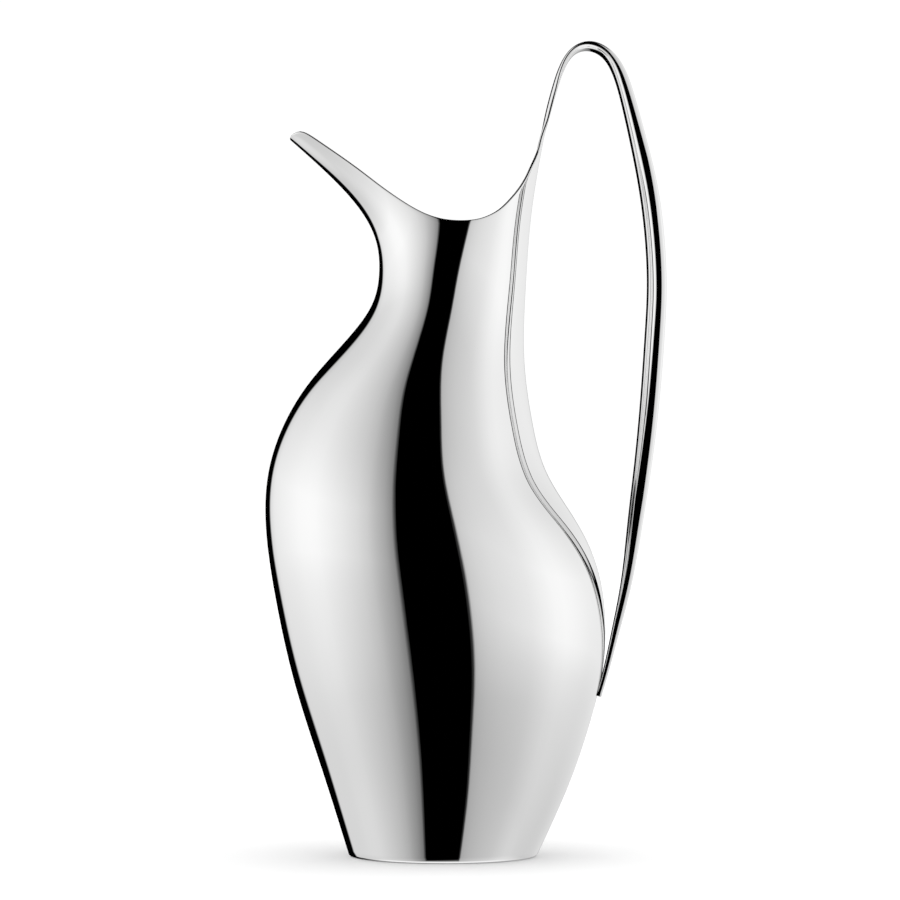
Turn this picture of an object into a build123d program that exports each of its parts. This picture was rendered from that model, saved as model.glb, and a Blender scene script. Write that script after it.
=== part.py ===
"""A polished silver water pitcher with a tall loop handle.

The body is two pressed half shells joined along the middle plane, closed by a dished base plate.
The handle grows out of the back of the rim as a solid strap, goes on as a hollow loop made of two
pressed halves, and ends in a small solid foot that stands on the belly.

Frame: millimetres, +Z up, origin at the middle of the base on the surface the pitcher stands on.
The spout points towards -X, the handle is at +X, and the pitcher is symmetric about the plane Y = 0.
"""
from build123d import *
import os
from math import cos, hypot, pi, sin, sqrt
import numpy as np

# Sheet and base
WALL = 1.1
BASE_CORNER_RADIUS = 0.8
BASE_INNER_RADIUS = 0.4
BASE_EDGE_WIDTH = 5.5
BASE_RING_WIDTH = 2.5
BASE_DISH_RISE = 1.8
SOLDER_GAP = 0.05

# Outlines of the body in the middle plane, as (height, x)
SPOUT_OUTLINE = [
    (0, -33.1), (30, -42.6), (60, -52.1), (90, -58.9), (115, -62.4), (135, -61.6), (152, -56.1), (168, -46.2),
    (182, -33.9), (194, -25.2), (206, -22.5), (218, -24.0), (230, -30.9), (242, -42.3), (256, -58.0),
]
BACK_OUTLINE = [
    (0, 33.1), (24, 44.0), (48, 52.2), (68, 56.7), (86, 57.1), (102, 54.3), (118, 46.9), (134, 37.1),
    (152, 31.7), (175, 28.7), (200, 29.2), (226, 31.2), (256, 36.2),
]

# Half the depth of the body across Y, as (height, half depth)
HALF_DEPTH = [
    (0, 28.0), (30, 35.3), (60, 42.6), (90, 46.3), (112, 47.0), (134, 44.6), (152, 40.0), (168, 35.2),
    (182, 30.2), (194, 26.6), (206, 24.4), (218, 23.6), (230, 23.2), (242, 22.8), (256, 22.2),
]

# How far each section's widest place lies ahead of its middle, towards the spout
RIDGE_SHIFT = [
    (0, -0.4), (30, 0.6), (60, 1.1), (90, 1.3), (112, -0.4), (134, -4.6), (156, -4.3), (176, -0.6),
    (196, 2.4), (217, 0.2), (230, -3.2), (242, -7.0), (256, -11.0),
]

# How much narrower the sections get at the spout
SPOUT_PINCH = [(0, 0.0), (190, 0.0), (206, 0.0), (218, 0.06), (230, 0.18), (242, 0.34), (256, 0.52)]

# Rim line in the middle plane, as (x, height), from the tip of the spout to the handle
RIM_LINE = [
    (-54.0, 252.6), (-53.0, 254.2), (-50.5, 255.0), (-46.5, 253.2), (-36.2, 246.2), (-22.0, 235.6),
    (-8.0, 226.1), (6.0, 222.7), (18.0, 225.3), (25.4, 231.9), (30.7, 241.0), (33.2, 249.8), (36.0, 262.0),
]

# Half the width of the tongue that runs up into the handle, as (height, half width)
TONGUE_HALF_WIDTH = [(228, 22.0), (235, 14.5), (241, 9.5), (245, 6.8), (248, 5.3), (251, 4.7), (262, 4.7)]
TONGUE_BEHIND = 15.0

# Handle from the tongue to the foot, as (x, height, thickness, half width)
HANDLE_STATIONS = [
    (34.5, 250.5, 1.2, 4.7), (37.0, 261.5, 1.85, 4.9), (39.9, 272.0, 2.1, 5.2), (42.6, 279.2, 2.1, 5.5),
    (46.4, 284.0, 2.3, 5.8), (51.8, 285.5, 2.95, 6.1), (57.1, 283.3, 3.3, 6.4), (61.5, 277.5, 4.1, 6.8),
    (65.0, 267.6, 4.75, 7.2), (68.9, 252.0, 5.5, 7.6), (72.5, 235.0, 6.3, 7.9), (74.8, 216.0, 6.5, 8.0),
    (75.4, 200.0, 6.6, 8.0), (74.7, 184.0, 6.7, 7.8), (73.1, 162.0, 6.5, 7.4), (70.7, 139.0, 5.9, 6.8),
    (67.7, 116.5, 5.0, 6.0), (64.6, 95.5, 3.7, 5.0), (60.7, 78.0, 2.55, 4.1), (56.7, 62.0, 1.9, 3.4),
    (54.9, 56.1, 1.9, 3.2),
]
HANDLE_HOLLOW_FROM = 62.0
HANDLE_HOLLOW_TO = 250.0
HANDLE_WALL = 0.9
HANDLE_WIDEST = 0.3
HANDLE_OUTER_POWER = 6.0
HANDLE_INNER_POWER = 2.6

# How finely the surfaces are described
BODY_LEVELS = 24
BODY_TOP = 264.0
SECTION_POINTS = 36
HANDLE_SECTION_POINTS = 28
HANDLE_STEP = 6.0
CUT_REACH = 60.0


def smooth(points):
    """Return a natural cubic spline through (position, value) points, as a function of position."""
    positions = np.array([point[0] for point in points], float)
    values = np.array([point[1] for point in points], float)
    gaps = np.diff(positions)
    slopes = np.diff(values) / gaps
    system = np.eye(len(points))
    target = np.zeros(len(points))
    for row in range(1, len(points) - 1):
        system[row, row - 1:row + 2] = gaps[row - 1], 2 * (gaps[row - 1] + gaps[row]), gaps[row]
        target[row] = 6 * (slopes[row] - slopes[row - 1])
    bends = np.linalg.solve(system, target)

    def value_at(position):
        span = min(max(int(np.searchsorted(positions, position)) - 1, 0), len(gaps) - 1)
        gap = gaps[span]
        before = (positions[span + 1] - position) / gap
        after = (position - positions[span]) / gap
        straight = before * values[span] + after * values[span + 1]
        bent = (before**3 - before) * bends[span] + (after**3 - after) * bends[span + 1]
        return float(straight + bent * gap**2 / 6)

    return value_at


spout_x = smooth(SPOUT_OUTLINE)
back_x = smooth(BACK_OUTLINE)
half_depth = smooth(HALF_DEPTH)
ridge_shift = smooth(RIDGE_SHIFT)
spout_pinch = smooth(SPOUT_PINCH)


def sheet_run(curve, height):
    """Return how far a sheet of thickness 1 reaches across, where its side follows the curve."""
    step = 0.5
    slope = (curve(height + step) - curve(height - step)) / (2 * step)
    return sqrt(1 + slope**2)


def closed_curve(points):
    """Return a smooth closed wire through the points, evenly divided, so that wires loft cleanly."""
    steps = [float(index) for index in range(len(points) + 1)]
    return Wire([Edge.make_spline(points, periodic=True, parameters=steps)])


def body_section(height, inset=0.0):
    """Return one level egg-shaped section of the body, drawn in by a wall thickness."""
    front = spout_x(height) + inset * sheet_run(spout_x, height)
    back = back_x(height) - inset * sheet_run(back_x, height)
    depth = half_depth(height) - inset * sheet_run(half_depth, height)
    middle = (front + back) / 2
    reach = (back - front) / 2
    points = []
    for index in range(SECTION_POINTS):
        angle = pi / 2 + 2 * pi * index / SECTION_POINTS
        pinch = 1 - spout_pinch(height) * ((1 - cos(angle)) / 2) ** 2
        x = middle + reach * cos(angle) - ridge_shift(height) * sin(angle) ** 2
        points.append((x, depth * sin(angle) * pinch, height))
    return closed_curve(points)


def body_form(bottom, corner_radius, inset=0.0):
    """Return the solid inside the body's outline, from a bottom height to above the spout."""
    heights = np.linspace(bottom, BODY_TOP, BODY_LEVELS)
    solid = Solid.make_loft([body_section(float(height), inset) for height in heights])
    bottom_edges = solid.faces().sort_by(Axis.Z)[0].edges()
    return fillet(bottom_edges, corner_radius)


def above_rim():
    """Return what lies above the saddle-shaped rim line."""
    tip_height = RIM_LINE[0][1]
    left = RIM_LINE[0][0] - CUT_REACH
    right = RIM_LINE[-1][0]
    top = BODY_TOP + CUT_REACH
    rim = Spline(*[(x, 0, height) for x, height in RIM_LINE])
    around = Polyline(rim @ 1, (right, 0, top), (left, 0, top), (left, 0, tip_height), rim @ 0)
    return extrude(Face(Wire([rim, *around.edges()])), amount=CUT_REACH, dir=(0, 1, 0), both=True)


def beside_tongue():
    """Return what is cut from both sides of the tongue, so that it narrows into the handle."""
    bottom, top = TONGUE_HALF_WIDTH[0][0], TONGUE_HALF_WIDTH[-1][0]
    edge = Spline(*[(0, half_width, height) for height, half_width in TONGUE_HALF_WIDTH])
    around = Polyline(edge @ 1, (0, CUT_REACH, top), (0, CUT_REACH, bottom), edge @ 0)
    side = extrude(Face(Wire([edge, *around.edges()])), amount=CUT_REACH, dir=(1, 0, 0))
    side = Pos(TONGUE_BEHIND, 0, 0) * side
    return side + mirror(side, about=Plane.XZ)


def base_outline(gap=0.0):
    """Return the flat outline where the turned-in edge of the body meets the base plate."""
    return Face(body_section(0, BASE_EDGE_WIDTH + gap))


def body_shell(solid_body):
    """Return the whole sheet of the body, with its turned-in bottom edge and the cut rim."""
    room = body_form(WALL, BASE_INNER_RADIUS, WALL)
    over_tongue = handle_plane(0) * Pos(0, 0, CUT_REACH / 2) * Box(CUT_REACH, CUT_REACH, CUT_REACH)
    bottom_hole = extrude(base_outline(), amount=2 * WALL, dir=(0, 0, 1), both=True)
    return solid_body - room - above_rim() - beside_tongue() - over_tongue - bottom_hole


def base_plate():
    """Return the disc that closes the bottom: a flat ring to stand on and a shallow dish inside it."""
    dish_reach = half_depth(0) - BASE_EDGE_WIDTH - BASE_RING_WIDTH
    dish_radius = (dish_reach**2 + BASE_DISH_RISE**2) / (2 * BASE_DISH_RISE)
    centre = Pos(0, 0, BASE_DISH_RISE - dish_radius)
    column = extrude(base_outline(SOLDER_GAP), amount=2 * BASE_DISH_RISE, dir=(0, 0, 1))
    ring = extrude(base_outline(SOLDER_GAP), amount=WALL, dir=(0, 0, 1))
    dome = column & (centre * Sphere(dish_radius + WALL))
    return ring + dome - centre * Sphere(dish_radius)


def handle_lines():
    """Return the handle's x, height, thickness and half width as functions of the length along it."""
    lengths = [0.0]
    for before, after in zip(HANDLE_STATIONS, HANDLE_STATIONS[1:]):
        lengths.append(lengths[-1] + hypot(after[0] - before[0], after[1] - before[1]))
    columns = [smooth(list(zip(lengths, column))) for column in zip(*HANDLE_STATIONS)]
    return columns, lengths[-1]


handle_columns, handle_length = handle_lines()


def handle_plane(length):
    """Return the plane square to the handle's middle line: x points outwards, y across, z along it."""
    x, height = handle_columns[0], handle_columns[1]
    step = 0.1
    along = Vector(x(length + step) - x(length - step), 0, height(length + step) - height(length - step))
    outwards = along.cross(Vector(0, 1, 0))
    return Plane(origin=(x(length), 0, height(length)), x_dir=outwards, z_dir=along)


def handle_section(length, inset=0.0):
    """Return one section of the handle: a broad outer face with tight edges and a rounded inner side."""
    plane = handle_plane(length)
    half = handle_columns[2](length) / 2 - inset
    width = handle_columns[3](length) - inset
    points = []
    for index in range(HANDLE_SECTION_POINTS):
        angle = 2 * pi * (index + 0.5) / HANDLE_SECTION_POINTS
        outer = cos(angle) > 0
        power = HANDLE_OUTER_POWER if outer else HANDLE_INNER_POWER
        side = 1 - HANDLE_WIDEST if outer else -1 - HANDLE_WIDEST
        reach = half * (HANDLE_WIDEST + side * abs(cos(angle)) ** (2 / power))
        across = width * abs(sin(angle)) ** (2 / power) * (1 if sin(angle) > 0 else -1)
        points.append(plane.from_local_coords(Vector(reach, across, 0)))
    return closed_curve(points)


def handle_run(first, last, inset=0.0):
    """Return the solid of the handle between two lengths along it, drawn in by a wall thickness."""
    count = max(3, round((last - first) / HANDLE_STEP) + 1)
    return Solid.make_loft([handle_section(float(length), inset) for length in np.linspace(first, last, count)])


def save(name, shape):
    """Write one named piece."""
    solids = shape.solids()
    piece = solids[0] if len(solids) == 1 else Compound(solids)
    piece.label = name
    export_step(piece, f"parts/{name}.step")


os.makedirs("parts", exist_ok=True)

solid_body = body_form(0, BASE_CORNER_RADIUS)
left_shell = split(body_shell(solid_body), bisect_by=Plane.XZ, keep=Keep.TOP)
save("body_shell_left", left_shell)
save("body_shell_right", mirror(left_shell, about=Plane.XZ))
save("base_plate", base_plate())

hollow = handle_run(HANDLE_HOLLOW_FROM, HANDLE_HOLLOW_TO)
hollow -= handle_run(HANDLE_HOLLOW_FROM, HANDLE_HOLLOW_TO, HANDLE_WALL)
left_handle = split(hollow, bisect_by=Plane.XZ, keep=Keep.TOP)
save("handle_root", handle_run(0, HANDLE_HOLLOW_FROM))
save("handle_shell_left", left_handle)
save("handle_shell_right", mirror(left_handle, about=Plane.XZ))
save("handle_foot", handle_run(HANDLE_HOLLOW_TO, handle_length) - solid_body)
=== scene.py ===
"""Polished silver water pitcher: the visible pieces, their finish, the studio and the camera.

Outlines are in millimetres in the frame of the CAD model: +Z up, the base on Z = 0, the spout
towards -X and the handle at +X. Meshes are written in metres.
"""

import bpy
import numpy as np
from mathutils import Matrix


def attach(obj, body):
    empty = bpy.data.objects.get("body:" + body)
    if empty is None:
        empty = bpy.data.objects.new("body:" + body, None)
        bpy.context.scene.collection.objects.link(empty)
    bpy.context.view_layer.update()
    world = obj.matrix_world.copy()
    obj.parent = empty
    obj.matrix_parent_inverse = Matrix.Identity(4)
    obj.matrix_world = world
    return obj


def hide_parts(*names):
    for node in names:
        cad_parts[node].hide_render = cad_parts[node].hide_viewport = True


MM = 0.001
LEFT, RIGHT = "left", "right"
TINY = 1e-12

# Sheet, and how far its lip stands above the rim line and how square it is, from 1 for round down to 0
WALL = 1.1
LIP_RISE = 0.62
LIP_SQUARENESS = 0.6

# Base
BASE_CORNER_RADIUS = 0.8
BASE_INNER_RADIUS = 0.4
BASE_EDGE_WIDTH = 5.5
BASE_RING_WIDTH = 2.5
BASE_DISH_RISE = 1.8
SOLDER_GAP = 0.05
BASE_PLATE_EDGE = 0.25

# Outlines of the body in the middle plane, as (height, x)
SPOUT_OUTLINE = [
    (0, -33.1), (30, -42.6), (60, -52.1), (90, -58.9), (115, -62.4), (135, -61.6), (152, -56.1),
    (168, -46.2), (182, -33.9), (194, -25.2), (206, -22.5), (218, -24.0), (230, -30.9), (242, -42.3),
    (256, -58.0),
]
BACK_OUTLINE = [
    (0, 33.1), (24, 44.0), (48, 52.2), (68, 56.7), (86, 57.1), (102, 54.3), (118, 46.9),
    (134, 37.1), (152, 31.7), (175, 28.7), (200, 29.2), (226, 31.2), (256, 36.2),
]

# Half the depth of the body across Y, as (height, half depth)
HALF_DEPTH = [
    (0, 28.0), (30, 35.3), (60, 42.6), (90, 46.3), (112, 47.0), (134, 44.6), (152, 40.0),
    (168, 35.2), (182, 30.2), (194, 26.6), (206, 24.4), (218, 23.6), (230, 23.2), (242, 22.8),
    (256, 22.2),
]

# How far each section's widest place lies ahead of its middle, towards the spout, as (height, distance)
RIDGE_SHIFT = [
    (0, -0.4), (30, 0.6), (60, 1.1), (90, 1.3), (112, -0.4), (134, -4.6), (156, -4.3), (176, -0.6),
    (196, 2.4), (217, 0.2), (230, -3.2), (242, -7.0), (256, -11.0),
]

# How much narrower the sections get at the spout, as (height, share of the depth)
SPOUT_PINCH = [(0, 0.0), (190, 0.0), (206, 0.0), (218, 0.06), (230, 0.18), (242, 0.34), (256, 0.52)]

# Rim, as (angle round the body from the handle, height), from the tongue to the tip of the spout. Its first
# points are the edge of the tongue, and its last ones are mirrored so that it crosses the tip level.
RIM = [
    (11.7, 250.4), (12.0, 249.2), (13.2, 247.9), (16.0, 246.2), (19.2, 244.5), (22.5, 242.7),
    (27.8, 239.2), (33.6, 235.7), (38.5, 233.2), (45.9, 229.8), (54.6, 226.3), (62.6, 224.2),
    (70.4, 222.9), (85.1, 222.2), (99.4, 223.0), (113.0, 225.6), (124.7, 229.8), (133.8, 234.9),
    (140.1, 240.4), (145.0, 245.4), (148.9, 249.6), (151.4, 252.4), (153.6, 253.9), (156.2, 254.3),
    (162.0, 253.8), (170.0, 252.9), (180.0, 252.2),
]
RIM_TONGUE_POINTS = 4
RIM_MIRRORED_POINTS = 3

# Handle from the tongue to the foot, as (x, height, thickness, half width)
HANDLE_STATIONS = [
    (34.5, 250.5, 1.2, 4.7), (37.0, 261.5, 1.85, 4.9), (39.9, 272.0, 2.1, 5.2),
    (42.6, 279.2, 2.1, 5.5), (46.4, 284.0, 2.3, 5.8), (51.8, 285.5, 2.95, 6.1),
    (57.1, 283.3, 3.3, 6.4), (61.5, 277.5, 4.1, 6.8), (65.0, 267.6, 4.75, 7.2),
    (68.9, 252.0, 5.5, 7.6), (72.5, 235.0, 6.3, 7.9), (74.8, 216.0, 6.5, 8.0),
    (75.4, 200.0, 6.6, 8.0), (74.7, 184.0, 6.7, 7.8), (73.1, 162.0, 6.5, 7.4),
    (70.7, 139.0, 5.9, 6.8), (67.7, 116.5, 5.0, 6.0), (64.6, 95.5, 3.7, 5.0),
    (60.7, 78.0, 2.55, 4.1), (56.7, 62.0, 1.9, 3.4), (54.9, 56.1, 1.9, 3.2),
]
HANDLE_HOLLOW_FROM = 62.0
HANDLE_HOLLOW_TO = 250.0
HANDLE_WALL = 0.9

# Handle section, as (length along the handle, place), where places run from -1 at its inner face to 1 at its
# outer face: where the bevel of its inner side starts, and where its outer side starts to lean in
HANDLE_BEVEL_FROM = [
    (13, -0.85), (20, -0.65), (26, -0.25), (32, 0.0), (38, 0.2), (43, 0.0), (50, -0.15),
    (60, -0.33), (88, -0.26), (138, -0.15), (173, -0.26), (208, -0.54), (230, -0.43), (252, -0.8),
]
HANDLE_LEAN_FROM = [
    (13, -0.4), (20, -0.37), (26, 0.0), (32, 0.38), (40, 0.4), (50, 0.12),
    (62, 0.2), (88, 0.45), (110, 0.36), (208, 0.42), (230, 0.3), (252, 0.12),
]

# Its bevel: how steep it is, how much it curves, and how tightly it turns into the inner face
HANDLE_BEVEL_SLOPE = 0.7
HANDLE_BEVEL_CURVE = 0.53
HANDLE_BEVEL_EDGE_POWER = 8.0

# Its outer side: how far it leans in, how much it curves, and how tightly it turns into the outer face, as
# (length along the handle, tightness)
HANDLE_LEAN = 0.33
HANDLE_LEAN_POWER = 1.5
HANDLE_OUTER_EDGE_POWER = [(33, 3.0), (55, 8.0)]

# Ends of the handle: the tongue's sheet turns flat from one height up and swells into the handle over some
# length, and the foot's end is slightly rounded
TONGUE_FLAT_FROM = 238.0
TONGUE_BLEND = 10.0
FOOT_EDGE_RADIUS = 0.25

# How finely the body and the base plate are divided
TONGUE_COLUMNS = 8
RIM_COLUMNS = 92
RIM_FINE_STEPS = 4000
WALL_ROWS = 170
CORNER_ROWS = 9
LIP_ROWS = 10
BASE_COLUMNS = 144
BASE_RINGS = 24
BASE_MIDDLE_RADIUS = 0.02

# How finely the handle is divided, how much its section's steps crowd towards its two faces, and the smaller
# ring that the foot's last normals are taken from
RING_STEP = 1.0
RING_POINTS = 80
SECTION_STEPS = 721
SECTION_CROWDING = 4.0
FOOT_EDGE_ROWS = 6
FOOT_END_SHARE = 0.9

# Finish
SILVER_TONES = [(0.95, 0.95, 0.948, 1.0), (0.972, 0.972, 0.972, 1.0)]
SILVER_ROUGHNESS = (0.0, 0.035)
SATIN_TONE = (0.91, 0.905, 0.89, 1.0)
SATIN_ROUGHNESS = (0.2, 0.38)
FLOOR_TONE = (0.9, 0.9, 0.9, 1.0)
FLOOR_ROUGHNESS = 0.9
WHITE = (1.0, 1.0, 1.0, 1.0)

# Camera: its place, how wide the picture is at the middle of the pitcher, and its nearest view in metres
CAMERA_DISTANCE = 1350.0
CAMERA_X = 2.5
CAMERA_HEIGHT = 143.0
PICTURE_WIDTH = 317.7
SENSOR_WIDTH = 36.0
CLIP_START = 0.01

# Studio: brightness by angle round from the camera, right positive, and by elevation, which are multiplied
LIGHT_ROUND = [
    (-180, 0.70), (-140, 0.70), (-130, 0.82), (-105, 0.90), (-92, 0.95), (-82, 0.965), (-75, 0.955),
    (-65, 0.89), (-55, 0.81), (-45, 0.71), (-38, 0.61), (-33, 0.50), (-27, 0.385), (-22, 0.25),
    (-20.6, 0.0), (16.8, 0.0), (17.6, 0.52), (20, 0.60), (26, 0.66), (35, 0.715), (55, 0.80),
    (65, 0.87), (75, 0.93), (85, 0.945), (95, 0.92), (115, 0.86), (130, 0.84), (150, 0.82),
    (167, 0.78), (173, 0.45), (180, 0.15),
]
LIGHT_UP = [
    (-90, 1.0), (-60, 1.0), (-50, 0.90), (-33, 0.68), (-25, 0.74), (-15, 0.86), (-7, 0.98),
    (0, 1.0), (8, 1.0), (20, 0.91), (30, 0.82), (42, 0.76), (50, 0.70), (54, 0.0), (90, 0.0),
]

# Brightness of the lit floor by elevation, which takes over where it is brighter
FLOOR_GLOW = [(-90, 0.9), (-58, 0.9), (-38, 0.0), (90, 0.0)]

# The dark corner behind the pitcher, on the left: where its edge is, how soft that is, and below which
# elevation and how fast it moves towards the camera
CORNER_EDGE = -144.0
CORNER_SOFTNESS = 4.0
CORNER_WIDENS_BELOW = -5.5
CORNER_WIDENING = 0.55

# Strength of the studio light and the overhead light, whose spread is in degrees, and the floor, in metres
LIGHT_STRENGTH = 1.04
OVERHEAD_STRENGTH = 3.2
OVERHEAD_SPREAD = 100.0
FLOOR_SIZE = 8.0
FLOOR_DROP = 0.0002

# Sockets of Blender's mix node that carry colours
MIX_FIRST, MIX_SECOND, MIX_RESULT = 6, 7, 2


def smooth(points):
    """Return a natural cubic spline through (position, value) points, as a function of positions."""
    positions = np.array([point[0] for point in points], float)
    values = np.array([point[1] for point in points], float)
    gaps = np.diff(positions)
    slopes = np.diff(values) / gaps
    system = np.eye(len(points))
    target = np.zeros(len(points))
    for row in range(1, len(points) - 1):
        system[row, row - 1:row + 2] = gaps[row - 1], 2 * (gaps[row - 1] + gaps[row]), gaps[row]
        target[row] = 6 * (slopes[row] - slopes[row - 1])
    bends = np.linalg.solve(system, target)

    def values_at(position):
        span = np.clip(np.searchsorted(positions, position) - 1, 0, len(gaps) - 1)
        gap = gaps[span]
        before = (positions[span + 1] - position) / gap
        after = (position - positions[span]) / gap
        straight = before * values[span] + after * values[span + 1]
        bent = (before**3 - before) * bends[span] + (after**3 - after) * bends[span + 1]
        return straight + bent * gap**2 / 6

    return values_at


def running_length(points):
    """Return the length along a line of points, from 0 at its first point."""
    return np.concatenate([[0.0], np.cumsum(np.linalg.norm(np.diff(points, axis=0), axis=1))])


def resample(points, count):
    """Return points evenly spaced along a finely divided line."""
    lengths = running_length(points)
    wanted = np.linspace(0, lengths[-1], count)
    return np.stack([np.interp(wanted, lengths, points[:, axis]) for axis in range(3)], axis=1)


def unit(vectors):
    """Return vectors scaled to length 1."""
    return vectors / np.linalg.norm(vectors, axis=-1, keepdims=True)


def ease(share):
    """Return a share from 0 to 1 with its start and its end eased."""
    return share * share * (3 - 2 * share)


spout_x = smooth(SPOUT_OUTLINE)
back_x = smooth(BACK_OUTLINE)
half_depth = smooth(HALF_DEPTH)
ridge_shift = smooth(RIDGE_SHIFT)
spout_pinch = smooth(SPOUT_PINCH)


def body_surface(angle, height, inset=0.0):
    """Return points of the body's outside, by the angle from the handle's side round the left half."""
    front = spout_x(height) + inset
    back = back_x(height) - inset
    pinch = 1 - spout_pinch(height) * ((1 - np.cos(angle)) / 2) ** 2
    x = (front + back) / 2 + (back - front) / 2 * np.cos(angle) - ridge_shift(height) * np.sin(angle) ** 2
    y = -(half_depth(height) - inset) * np.sin(angle) * pinch
    return np.stack(np.broadcast_arrays(x, y, height), axis=-1)


def body_normal(angle, height):
    """Return the outward directions of the body's wall."""
    turn, rise = 1e-4, 1e-2
    around = body_surface(angle + turn, height) - body_surface(angle - turn, height)
    upward = body_surface(angle, height + rise) - body_surface(angle, height - rise)
    return unit(np.cross(upward, around))


def sheet_facing(angle, height):
    """Return the direction across the sheet: square to the wall, but straight back in the flat tongue."""
    facing = body_normal(angle, height)
    share = np.clip((height - TONGUE_FLAT_FROM) / (RIM[0][1] - TONGUE_FLAT_FROM), 0, 1)
    flatness = np.where(angle < np.pi / 2, ease(share), 0.0)
    facing[..., 1] *= 1 - flatness
    return unit(facing)


def rim_line():
    """Return the angles and heights of the rim's columns, evenly spaced along the rim."""
    mirrored = [(360 - angle, height) for angle, height in RIM[-2:-2 - RIM_MIRRORED_POINTS:-1]]
    knots = np.array(RIM + mirrored, float)
    angles = np.radians(knots[:, 0])
    lengths = running_length(body_surface(angles, knots[:, 1]))
    angle_at = smooth(list(zip(lengths, angles)))
    height_at = smooth(list(zip(lengths, knots[:, 1])))
    fine = np.linspace(0, lengths[len(RIM) - 1], RIM_FINE_STEPS)
    travelled = running_length(body_surface(angle_at(fine), height_at(fine)))
    along = np.interp(np.linspace(0, travelled[-1], RIM_COLUMNS + 1), travelled, fine)
    return angle_at(along), height_at(along)


def rim_columns():
    """Return the top angle and top height of every column of a body half, the tongue's columns first."""
    angles, heights = rim_line()
    tongue = np.linspace(0, angles[0], TONGUE_COLUMNS, endpoint=False)
    return np.concatenate([tongue, angles]), np.concatenate([np.full(TONGUE_COLUMNS, heights[0]), heights])


def differences(grid, axis):
    """Return the slope of a grid of points along one axis, true to second order on uneven steps."""
    grid = np.moveaxis(grid, axis, 0)
    before = grid[1:-1] - grid[:-2]
    after = grid[2:] - grid[1:-1]
    near = np.linalg.norm(before, axis=-1, keepdims=True) + TINY
    far = np.linalg.norm(after, axis=-1, keepdims=True) + TINY
    slope = (near**2 * after + far**2 * before) / (near * far * (near + far))
    return np.moveaxis(slope, 0, axis)


def grid_normals(grid, start, end):
    """Return the outward directions of a grid of closed loops, given the loops before and after it."""
    loops = np.concatenate([start[None], grid, end[None]])
    closed = np.concatenate([grid[:, -1:], grid, grid[:, :1]], axis=1)
    return unit(np.cross(differences(closed, 1), differences(loops, 0)))


def across_middle(points):
    """Return the mirror image of points in the middle plane."""
    return points * np.array([1.0, -1.0, 1.0])


def add_piece(name, vertices, faces, normals, material, node):
    """Make one piece from millimetre points, with its own normals, riding on the pitcher."""
    mesh = bpy.data.meshes.new(name)
    mesh.from_pydata((vertices.reshape(-1, 3) * MM).tolist(), [], faces)
    mesh.shade_smooth()
    mesh.normals_split_custom_set_from_vertices(normals.reshape(-1, 3).tolist())
    mesh.materials.append(material)
    piece = bpy.data.objects.new(name, mesh)
    bpy.context.scene.collection.objects.link(piece)
    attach(piece, "root")
    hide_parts(node)


def turned(faces, flip):
    """Return the faces, facing the other way if asked."""
    return [face[::-1] for face in faces] if flip else faces


def loop_faces(loops, points, flip=False):
    """Return the quads that join closed loops of points."""
    faces = []
    for loop in range(loops - 1):
        for point in range(points):
            here, there = loop * points, (loop + 1) * points
            after = (point + 1) % points
            faces.append((here + point, here + after, there + after, there + point))
    return turned(faces, flip)


def wall_end_faces(loop, points, flip=False):
    """Return the quads across a sheet's end, between the outward and the homeward run of its loop."""
    faces = []
    for point in range(points // 2 - 1):
        start, end = loop * points + point, (loop + 1) * points - 1 - point
        faces.append((start, start + 1, end - 1, end))
    return turned(faces, flip)


def solid_end_face(loop, points, flip=False):
    """Return the one face that closes a solid's loop."""
    return turned([tuple(range(loop * points, (loop + 1) * points))], flip)


def add_half_shell(name, side, grid, normals, material):
    """Make one half shell of polished sheet from the loops of a left half, which a right half mirrors."""
    right = side == RIGHT
    if right:
        grid, normals = across_middle(grid), across_middle(normals)
    loops, points = grid.shape[:2]
    faces = loop_faces(loops, points, right)
    faces += wall_end_faces(0, points, not right)
    faces += wall_end_faces(loops - 1, points, right)
    add_piece(name, grid, faces, normals, material, name)


def add_solid_strap(name, rings, normals, material):
    """Make one solid, polished stretch of the handle from its closed rings, with a flat face at each end."""
    count, points = rings.shape[:2]
    faces = loop_faces(count, points) + solid_end_face(0, points, True) + solid_end_face(count - 1, points)
    add_piece(name, rings, faces, normals, material, name)


def column_angles(top_angle, base_angle, heights, top_height):
    """Return how a column swings, eased, from its even spacing at the base to its place on the rim."""
    share = np.clip(heights / top_height, 0, 1)
    return base_angle + (top_angle - base_angle) * share**3 * (share * (6 * share - 15) + 10)


def bottom_edge(angle, height, radius, inset):
    """Return the turned-in bottom edge of a column: its inner end and the quarter turn up into the wall."""
    turn = np.linspace(0, np.pi / 2, CORNER_ROWS)
    turned_heights = height + radius * (1 - np.cos(turn))
    turned_insets = inset + radius * (1 - np.sin(turn))
    inner_end = body_surface(np.array([angle]), np.array([0.0]), BASE_EDGE_WIDTH) + np.array([0, 0, height])
    corner = body_surface(np.full(CORNER_ROWS, angle), turned_heights, turned_insets)
    return np.concatenate([inner_end, corner])


def lip(outer, inner, outward, rise):
    """Return the rounded lip between the outer and the inner edge of the sheet."""
    turn = np.linspace(0, np.pi, LIP_ROWS + 2)[1:-1, None]
    across = (1 - np.sign(np.cos(turn)) * np.abs(np.cos(turn)) ** LIP_SQUARENESS) / 2
    return outer + (inner - outer) * across + outward * rise * np.sin(turn) ** LIP_SQUARENESS


def rim_outwards(angles, heights):
    """Return the direction that the cut edge of the sheet faces at every column."""
    rim = body_surface(angles, heights)[TONGUE_COLUMNS:]
    rim = np.concatenate([rim, across_middle(rim[-2:-3:-1])])
    along = np.concatenate([np.array([[0.0, 0.0, -1.0]]), rim[2:] - rim[:-2]])
    facing = unit(np.cross(along, sheet_facing(angles, heights)[TONGUE_COLUMNS:]))
    return np.concatenate([np.tile([0.0, 0.0, 1.0], (TONGUE_COLUMNS, 1)), facing])


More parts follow.
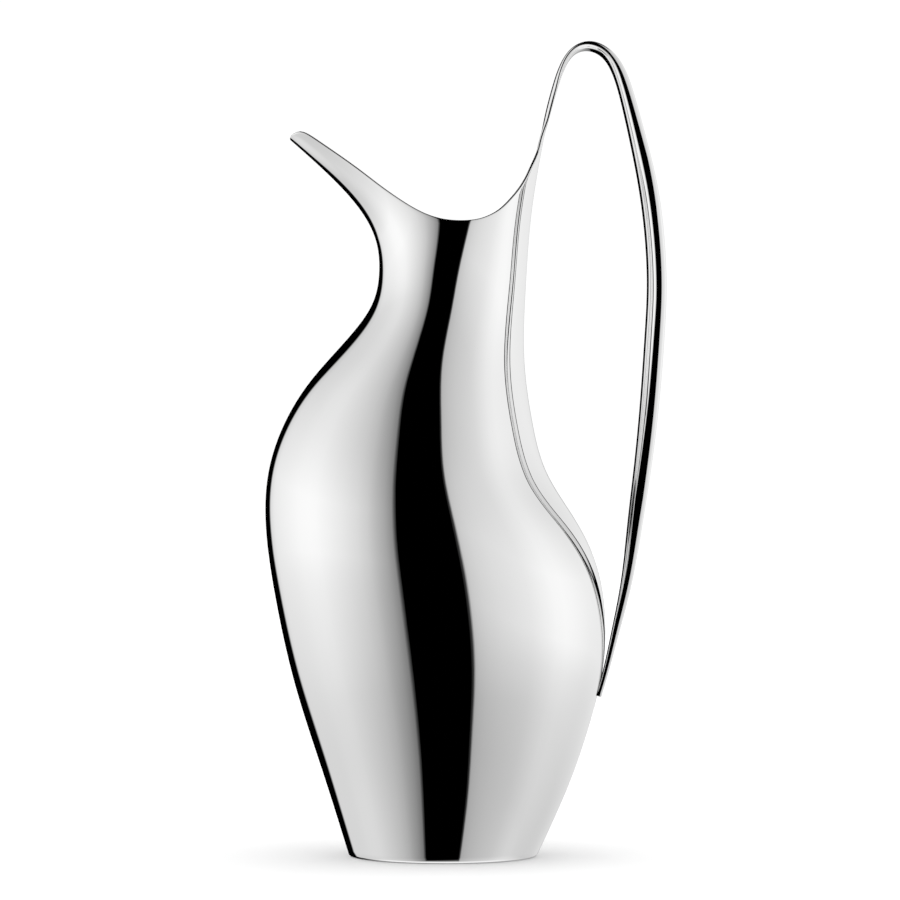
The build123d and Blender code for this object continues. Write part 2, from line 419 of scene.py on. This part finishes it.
def join_tongue(normals):
    """Let the tongue's two faces and its edge run straight on into the handle, unrounded at the top."""
    angles, heights = rim_columns()
    facing = body_normal(angles[:TONGUE_COLUMNS], heights[:TONGUE_COLUMNS])
    outer_row = CORNER_ROWS + WALL_ROWS - 1
    normals[:TONGUE_COLUMNS, outer_row] = facing
    normals[:TONGUE_COLUMNS, outer_row + LIP_ROWS + 1] = -facing
    edge_rows = slice(outer_row, outer_row + LIP_ROWS + 2)
    normals[TONGUE_COLUMNS, edge_rows] = normals[TONGUE_COLUMNS + 1, edge_rows]


def body_half_grid():
    """Return the left half of the body as loops from the handle round to the spout.

    Each loop runs from the bottom up the outside, over the lip and down the inside.
    """
    top_angles, top_heights = rim_columns()
    base_angles = np.linspace(0, np.pi, len(top_angles))
    outwards = rim_outwards(top_angles, top_heights)
    loops = []
    for column, (top_angle, top_height) in enumerate(zip(top_angles, top_heights)):
        base_angle = base_angles[column]
        heights = np.linspace(BASE_CORNER_RADIUS, top_height, WALL_ROWS)[1:]
        angles = column_angles(top_angle, base_angle, heights, top_height)
        wall = body_surface(angles, heights)
        inner_wall = wall - WALL * sheet_facing(angles, heights)
        outside = np.concatenate([bottom_edge(base_angle, 0.0, BASE_CORNER_RADIUS, 0.0), wall])
        inner_edge = bottom_edge(base_angle, WALL, BASE_INNER_RADIUS, WALL)
        inside = np.concatenate([inner_edge, inner_wall])
        rise = LIP_RISE if column >= TONGUE_COLUMNS else 0.0
        edge = lip(outside[-1], inside[-1], outwards[column], rise)
        loops.append(np.concatenate([outside, edge, inside[::-1]]))
    return np.array(loops)


def add_body_half(name, side, material):
    """Make one half shell of the body, with its half of the spout and the tongue."""
    grid = body_half_grid()
    normals = grid_normals(grid, across_middle(grid[1]), across_middle(grid[-2]))
    join_tongue(normals)
    add_half_shell(name, side, grid, normals, material)


def handle_lines():
    """Return the handle's x, height, thickness and half width by the length along it, and its length."""
    stations = np.array(HANDLE_STATIONS, float)
    lengths = running_length(stations[:, :2])
    return [smooth(list(zip(lengths, column))) for column in stations.T], lengths[-1]


handle_columns, handle_length = handle_lines()


def along_handle(table, length):
    """Return a value read from a table of (length along the handle, value)."""
    return np.interp(length, *np.transpose(table))


def handle_axes(length):
    """Return the middle of the handle at a length along it, and its outward direction."""
    step = 0.1
    places = np.array([length - step, length, length + step])
    x, height = handle_columns[0](places), handle_columns[1](places)
    forward = unit(np.array([x[2] - x[0], 0.0, height[2] - height[0]]))
    outward = np.cross(forward, [0.0, 1.0, 0.0])
    return np.array([x[1], 0.0, height[1]]), outward


def tongue_half_ring(height):
    """Return the left half of the tongue's section: from the body's inside round its edge to the outside.

    The body's inside runs on into the handle's outer face, on the outside of the arch.
    """
    rim_angles, rim_heights = np.array(RIM[:RIM_TONGUE_POINTS]).T
    widest = np.radians(np.interp(-height, -rim_heights, rim_angles))
    angles = np.linspace(0, widest, TONGUE_COLUMNS + 1)
    outer = body_surface(angles, height)
    facing = sheet_facing(angles, height)
    inner = outer - WALL * facing
    sideways = unit(np.cross([0.0, 0.0, -1.0], facing[-1]))
    edge = lip(outer[-1], inner[-1], sideways, LIP_RISE)
    return resample(np.concatenate([inner, edge[::-1], outer[::-1]]), RING_POINTS)


def strap_half_ring(length, inset):
    """Return the left half of the handle's section, from its outer face round its side to its inner face."""
    middle, outward = handle_axes(length)
    half = handle_columns[2](np.array(length)) / 2 - inset
    width = handle_columns[3](np.array(length)) - inset
    bevel_from = along_handle(HANDLE_BEVEL_FROM, length)
    lean_from = max(along_handle(HANDLE_LEAN_FROM, length), bevel_from)
    edge_power = along_handle(HANDLE_OUTER_EDGE_POWER, length)
    share = np.linspace(-1, 1, SECTION_STEPS)
    place = np.cos(np.pi / 2 * (1 + np.sign(share) * (1 - (1 - np.abs(share)) ** SECTION_CROWDING)))
    inwards = np.clip(bevel_from - place, 0, None) / (1 + bevel_from)
    outwards = np.clip(place - lean_from, 0, None) / (1 - lean_from)
    bevel = half * (1 + bevel_from) * (HANDLE_BEVEL_SLOPE * inwards + HANDLE_BEVEL_CURVE * inwards**3)
    lean = half * HANDLE_LEAN * (1 - lean_from) * outwards**HANDLE_LEAN_POWER
    edge = (1 - outwards**edge_power) ** (1 / edge_power)
    edge *= (1 - inwards**HANDLE_BEVEL_EDGE_POWER) ** (1 / HANDLE_BEVEL_EDGE_POWER)
    across = (width - lean - bevel) * edge
    ring = middle + half * place[:, None] * outward - across[:, None] * np.array([0.0, 1.0, 0.0])
    return resample(ring, RING_POINTS)


def handle_half_ring(length, inset=0.0):
    """Return the left half of the section at a length along the handle, which grows out of the tongue."""
    top = RIM[0][1]
    if length < 0:
        return tongue_half_ring(top + length)
    swell = ease(min(length / TONGUE_BLEND, 1.0))
    strap = strap_half_ring(length, inset)
    if swell == 1:
        return strap
    rising = unit(body_surface(0.0, top + 1.0) - body_surface(0.0, top - 1.0))
    return (1 - swell) * (tongue_half_ring(top) + length * rising) + swell * strap


def whole_ring(half_ring):
    """Return the closed ring made of a left half and its mirror image."""
    return np.concatenate([half_ring, across_middle(half_ring[-2:0:-1])])


def handle_rings(first, last, inset=0.0):
    """Return the closed rings of a stretch of the handle, and their normals."""
    count = round((last - first) / RING_STEP) + 1
    lengths = np.linspace(first, last, count)
    rings = np.array([whole_ring(handle_half_ring(length, inset)) for length in lengths])
    before = whole_ring(handle_half_ring(first - RING_STEP, inset))
    after = whole_ring(handle_half_ring(last + RING_STEP, inset))
    return rings, grid_normals(rings, before, after)


def add_handle_root(material):
    """Make the solid start of the handle, which grows out of the tongue and forms the arch."""
    rings, normals = handle_rings(0.0, HANDLE_HOLLOW_FROM)
    add_solid_strap("handle_root", rings, normals, material)


def add_handle_half(name, side, material):
    """Make one half shell of the hollow handle."""
    outer, outer_normals = handle_rings(HANDLE_HOLLOW_FROM, HANDLE_HOLLOW_TO)
    inner, inner_normals = handle_rings(HANDLE_HOLLOW_FROM, HANDLE_HOLLOW_TO, HANDLE_WALL)
    outward = slice(None, RING_POINTS)
    homeward = slice(RING_POINTS - 1, None, -1)
    grid = np.concatenate([outer[:, outward], inner[:, homeward]], axis=1)
    normals = np.concatenate([outer_normals[:, outward], -inner_normals[:, homeward]], axis=1)
    add_half_shell(name, side, grid, normals, material)


def add_handle_foot(material):
    """Make the solid lower end of the handle, which stands on the belly and is cut off square."""
    last = handle_length - FOOT_EDGE_RADIUS
    rings, _ = handle_rings(HANDLE_HOLLOW_TO, last)
    ends = []
    for turn in np.linspace(0, np.pi / 2, FOOT_EDGE_ROWS)[1:]:
        length = last + FOOT_EDGE_RADIUS * np.sin(turn)
        inset = FOOT_EDGE_RADIUS * (1 - np.cos(turn))
        ends.append(whole_ring(handle_half_ring(length, inset)))
    rings = np.concatenate([rings, np.array(ends)])
    middle = rings[-1].mean(axis=0)
    before = whole_ring(handle_half_ring(HANDLE_HOLLOW_TO - RING_STEP))
    after = middle + (rings[-1] - middle) * FOOT_END_SHARE
    add_solid_strap("handle_foot", rings, grid_normals(rings, before, after), material)


def base_profile():
    """Return the base plate's (radius, height) line from the middle of its underside out to its ring."""
    reach = HALF_DEPTH[0][1] - BASE_EDGE_WIDTH - BASE_RING_WIDTH
    sphere = (reach**2 + BASE_DISH_RISE**2) / (2 * BASE_DISH_RISE)
    radii = np.linspace(BASE_MIDDLE_RADIUS, reach, BASE_RINGS)
    return list(zip(radii, np.sqrt(sphere**2 - radii**2) - (sphere - BASE_DISH_RISE)))


def add_base_plate(material):
    """Make the disc that closes the bottom: a flat ring to stand on and a shallow dish inside it.

    Each loop runs from the middle of the underside out to the edge and back over the top.
    """
    angles = np.linspace(0, 2 * np.pi, BASE_COLUMNS + 1)
    outline = body_surface(angles, np.zeros(BASE_COLUMNS + 1), BASE_EDGE_WIDTH + SOLDER_GAP)
    directions = np.stack([np.cos(angles), -np.sin(angles), np.zeros(BASE_COLUMNS + 1)], axis=-1)
    dish = [directions * radius + [0, 0, height] for radius, height in base_profile()]
    face = [*dish, outline - BASE_PLATE_EDGE * directions]
    underside = [*face, outline + [0, 0, BASE_PLATE_EDGE]]
    top = [*(points + [0, 0, WALL] for points in face), outline + [0, 0, WALL - BASE_PLATE_EDGE]]
    loops = np.array(underside + top[::-1]).transpose(1, 0, 2)
    normals = grid_normals(loops, loops[-2], loops[1])
    faces = loop_faces(*loops.shape[:2])
    add_piece("base_plate", loops, faces, normals, material, "base_plate")


def new_material(name):
    """Return a new node material's tree and its shader."""
    material = bpy.data.materials.new(name)
    material.use_nodes = True
    shader = material.node_tree.nodes["Principled BSDF"]
    shader.inputs["Metallic"].default_value = 1.0
    return material, material.node_tree, shader


def add_node(tree, kind, inputs=(), **settings):
    """Add a node with its settings, and fill its inputs with numbers or the outputs of other nodes."""
    node = tree.nodes.new(kind)
    for name, value in settings.items():
        setattr(node, name, value)
    for name, value in dict(inputs).items():
        if isinstance(value, bpy.types.NodeSocket):
            tree.links.new(value, node.inputs[name])
        else:
            node.inputs[name].default_value = value
    return node


def calculate(tree, operation, *values):
    """Return the result of a calculation with numbers or the outputs of other nodes."""
    return add_node(tree, "ShaderNodeMath", enumerate(values), operation=operation).outputs["Value"]


def spread_over(tree, value, low, high):
    """Return a value from 0 to 1 carried over to another range."""
    inputs = {"Value": value, "To Min": low, "To Max": high}
    return add_node(tree, "ShaderNodeMapRange", inputs).outputs["Result"]


def share_between(tree, value, first, last):
    """Return how far a value is on the way from one number to another, from 0 to 1."""
    inputs = {"Value": value, "From Min": first, "From Max": last}
    return add_node(tree, "ShaderNodeMapRange", inputs).outputs["Result"]


def blend_colours(tree, kind, factor, first, second):
    """Return two colours blended in a named way."""
    inputs = {"Factor": factor, MIX_FIRST: first, MIX_SECOND: second}
    return add_node(tree, "ShaderNodeMix", inputs, data_type="RGBA", blend_type=kind).outputs[MIX_RESULT]


def polished_silver():
    """Make mirror-polished silver, with faint handling haze and tone and fine polishing hairlines."""
    material, tree, shader = new_material("polished_silver")
    place = add_node(tree, "ShaderNodeTexCoord").outputs["Object"]
    haze = add_node(
        tree, "ShaderNodeTexNoise", {"Vector": place, "Scale": 38.0, "Detail": 6.0, "Roughness": 0.6},
    )
    stretched = add_node(tree, "ShaderNodeMapping", {"Vector": place, "Scale": (900.0, 900.0, 60.0)})
    hairlines = add_node(tree, "ShaderNodeTexNoise", {"Vector": stretched.outputs["Vector"], "Scale": 1.0})
    wear = calculate(tree, "MULTIPLY", haze.outputs["Fac"], hairlines.outputs["Fac"])
    tree.links.new(spread_over(tree, wear, *SILVER_ROUGHNESS), shader.inputs["Roughness"])
    tone = add_node(tree, "ShaderNodeValToRGB", {"Fac": haze.outputs["Fac"]})
    for element, colour in zip(tone.color_ramp.elements, SILVER_TONES):
        element.color = colour
    tree.links.new(tone.outputs["Color"], shader.inputs["Base Color"])
    ripple = add_node(
        tree, "ShaderNodeBump", {"Height": hairlines.outputs["Fac"], "Strength": 0.004, "Distance": 0.0002},
    )
    tree.links.new(ripple.outputs["Normal"], shader.inputs["Normal"])
    return material


def base_silver():
    """Make the satin silver of the base plate, with fine turning marks round its middle."""
    material, tree, shader = new_material("base_silver")
    place = add_node(tree, "ShaderNodeTexCoord").outputs["Object"]
    marks = add_node(
        tree, "ShaderNodeTexWave", {"Vector": place, "Scale": 900.0, "Distortion": 0.6, "Detail": 3.0},
        wave_type="RINGS", rings_direction="Z",
    )
    haze = add_node(tree, "ShaderNodeTexNoise", {"Vector": place, "Scale": 120.0, "Detail": 5.0})
    tree.links.new(spread_over(tree, haze.outputs["Fac"], *SATIN_ROUGHNESS), shader.inputs["Roughness"])
    shader.inputs["Base Color"].default_value = SATIN_TONE
    grooves = add_node(
        tree, "ShaderNodeBump", {"Height": marks.outputs["Fac"], "Strength": 0.15, "Distance": 0.0001},
    )
    tree.links.new(grooves.outputs["Normal"], shader.inputs["Normal"])
    return material


def ramp(tree, value, stops, first, last):
    """Return a brightness read from (position, brightness) stops."""
    node = add_node(tree, "ShaderNodeValToRGB", {"Fac": value})
    elements = node.color_ramp.elements
    while len(elements) < len(stops):
        elements.new(1.0)
    for element, (position, brightness) in zip(elements, stops):
        element.position = (position - first) / (last - first)
        element.color = (brightness, brightness, brightness, 1.0)
    return node.outputs["Color"]


def dark_corner(tree, round_angle, up_angle):
    """Return 0 inside the dark corner behind the pitcher and 1 outside it."""
    below = calculate(tree, "SUBTRACT", np.radians(CORNER_WIDENS_BELOW), up_angle)
    shift = calculate(tree, "MULTIPLY", calculate(tree, "MAXIMUM", below, 0.0), CORNER_WIDENING)
    moved = calculate(tree, "SUBTRACT", round_angle, shift)
    first, last = np.radians([CORNER_EDGE, CORNER_EDGE + CORNER_SOFTNESS])
    return share_between(tree, moved, first, last)


def add_studio_light():
    """Surround the pitcher with soft white screens, which are seen only as they are mirrored in it.

    There is a dark gap in front, a dark corner behind it on the left and a dark ceiling above.
    """
    world = bpy.data.worlds.new("studio")
    world.use_nodes = True
    bpy.context.scene.world = world
    tree = world.node_tree
    direction = add_node(tree, "ShaderNodeTexCoord").outputs["Generated"]
    x, y, z = add_node(tree, "ShaderNodeSeparateXYZ", {"Vector": direction}).outputs
    towards = calculate(tree, "MULTIPLY", y, -1.0)
    round_angle = calculate(tree, "ARCTAN2", x, towards)
    up_angle = calculate(tree, "ARCSINE", z)
    round_share = share_between(tree, round_angle, -np.pi, np.pi)
    up_share = share_between(tree, up_angle, -np.pi / 2, np.pi / 2)
    around = ramp(tree, round_share, LIGHT_ROUND, -180, 180)
    upward = ramp(tree, up_share, LIGHT_UP, -90, 90)
    screens = blend_colours(tree, "MULTIPLY", 1.0, around, upward)
    cornered = blend_colours(tree, "MULTIPLY", 1.0, screens, dark_corner(tree, round_angle, up_angle))
    glow = ramp(tree, up_share, FLOOR_GLOW, -90, 90)
    surroundings = blend_colours(tree, "LIGHTEN", 1.0, cornered, glow)
    seen = add_node(tree, "ShaderNodeLightPath").outputs["Is Camera Ray"]
    shown = blend_colours(tree, "MIX", seen, surroundings, WHITE)
    background = tree.nodes["Background"]
    tree.links.new(shown, background.inputs["Color"])
    background.inputs["Strength"].default_value = LIGHT_STRENGTH


def add_floor_light():
    """Add a wide soft light from overhead that whitens the floor but isn't mirrored in the silver."""
    data = bpy.data.lights.new("overhead", "SUN")
    data.energy = OVERHEAD_STRENGTH
    data.angle = np.radians(OVERHEAD_SPREAD)
    lamp = bpy.data.objects.new("overhead", data)
    lamp.visible_glossy = False
    bpy.context.scene.collection.objects.link(lamp)


def add_floor():
    """Add the plain pale floor."""
    material = bpy.data.materials.new("floor")
    material.use_nodes = True
    shader = material.node_tree.nodes["Principled BSDF"]
    shader.inputs["Base Color"].default_value = FLOOR_TONE
    shader.inputs["Roughness"].default_value = FLOOR_ROUGHNESS
    shader.inputs["Specular IOR Level"].default_value = 0.0
    bpy.ops.mesh.primitive_plane_add(size=FLOOR_SIZE, location=(0.0, 0.0, -FLOOR_DROP))
    floor = bpy.context.object
    floor.name = "floor"
    floor.data.materials.append(material)
    floor.visible_glossy = False


def add_camera():
    """Add the camera, level with the middle of the pitcher and square to its side."""
    data = bpy.data.cameras.new("camera")
    data.sensor_width = SENSOR_WIDTH
    data.lens = SENSOR_WIDTH * CAMERA_DISTANCE / PICTURE_WIDTH
    data.clip_start = CLIP_START
    camera = bpy.data.objects.new("camera", data)
    camera.location = (CAMERA_X * MM, -CAMERA_DISTANCE * MM, CAMERA_HEIGHT * MM)
    camera.rotation_euler = (np.pi / 2, 0.0, 0.0)
    bpy.context.scene.collection.objects.link(camera)
    bpy.context.scene.camera = camera


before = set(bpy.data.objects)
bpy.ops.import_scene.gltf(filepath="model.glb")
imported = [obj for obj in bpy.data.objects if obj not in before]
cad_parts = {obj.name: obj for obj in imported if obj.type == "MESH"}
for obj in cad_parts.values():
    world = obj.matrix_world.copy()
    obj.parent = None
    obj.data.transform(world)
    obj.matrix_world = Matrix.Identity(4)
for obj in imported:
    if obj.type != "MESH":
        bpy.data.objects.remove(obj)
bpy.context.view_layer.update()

silver = polished_silver()
add_body_half("body_shell_left", LEFT, silver)
add_body_half("body_shell_right", RIGHT, silver)
add_base_plate(base_silver())
add_handle_root(silver)
add_handle_half("handle_shell_left", LEFT, silver)
add_handle_half("handle_shell_right", RIGHT, silver)
add_handle_foot(silver)

add_studio_light()
add_floor_light()
add_floor()
add_camera()
bpy.context.scene.view_settings.view_transform = "Standard"
